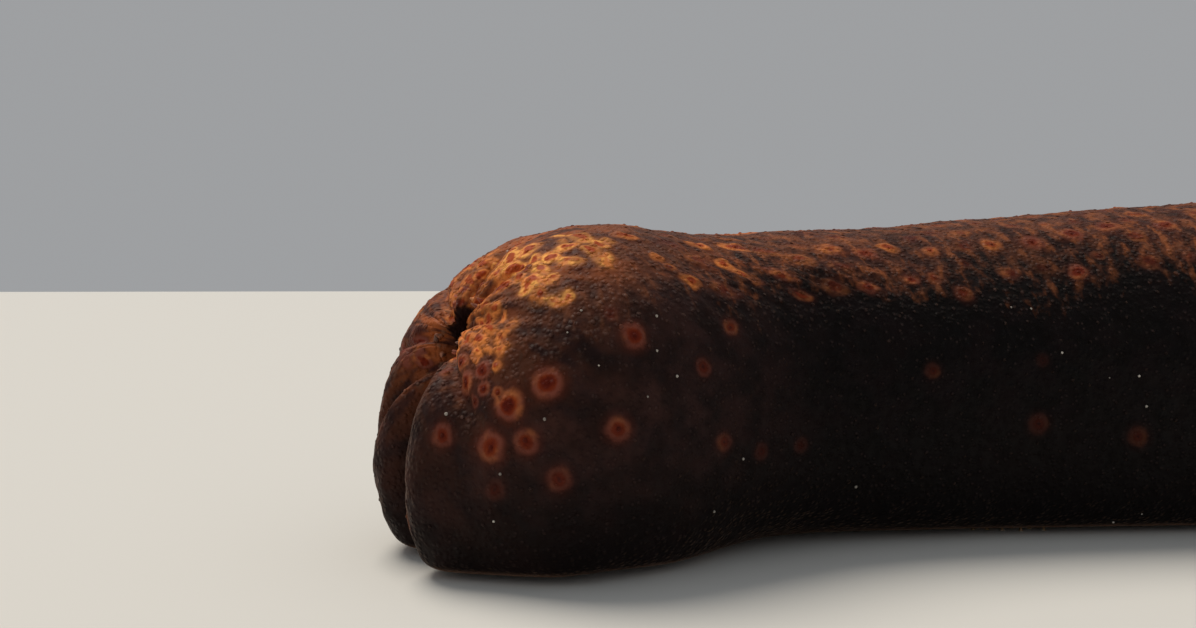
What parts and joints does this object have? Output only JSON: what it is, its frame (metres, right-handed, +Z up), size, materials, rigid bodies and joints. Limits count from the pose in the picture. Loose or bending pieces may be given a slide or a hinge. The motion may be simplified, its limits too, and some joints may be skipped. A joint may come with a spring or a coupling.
{
  "type": "sea cucumber",
  "caption": "Life-size still model of a leopard sea cucumber lying on its flat sole, body gently bent, with an open puckered anus and a crown of feeding tentacles.",
  "frame": {"origin": "on the floor under the middle of the bounding box", "axes": "+X along the body from the anus end towards the mouth, +Z up, -Y towards the side that the picture shows"},
  "size_m": [0.3558, 0.1182, 0.0846],
  "materials": {
    "back_skin": "damp, finely grained living skin, near-black maroon with orange-ringed eye spots",
    "lip_skin": "damp folded skin, maroon with fused orange rings",
    "sole_skin": "damp paler skin set with tube feet",
    "tentacle_skin": "wet soft skin, grey-brown with paler lobed edges"
  },
  "bodies": {
    "root": {"anal_rim": "lip_skin", "rear_end": "back_skin", "trunk_rear": "back_skin", "trunk_middle": "back_skin", "trunk_front": "back_skin", "oral_end": "back_skin", "oral_collar": "lip_skin", "oral_disc": "tentacle_skin", "sole_rear": "sole_skin", "sole_middle": "sole_skin", "sole_front": "sole_skin", "tentacle_01": "tentacle_skin", "tentacle_02": "tentacle_skin", "tentacle_03": "tentacle_skin", "tentacle_04": "tentacle_skin", "tentacle_05": "tentacle_skin", "tentacle_06": "tentacle_skin", "tentacle_07": "tentacle_skin", "tentacle_08": "tentacle_skin", "tentacle_09": "tentacle_skin", "tentacle_10": "tentacle_skin", "tentacle_11": "tentacle_skin", "tentacle_12": "tentacle_skin", "tentacle_13": "tentacle_skin", "tentacle_14": "tentacle_skin", "tentacle_15": "tentacle_skin", "tentacle_16": "tentacle_skin", "tentacle_17": "tentacle_skin", "tentacle_18": "tentacle_skin", "tentacle_19": "tentacle_skin", "tentacle_20": "tentacle_skin"}
  },
  "joints": []
}
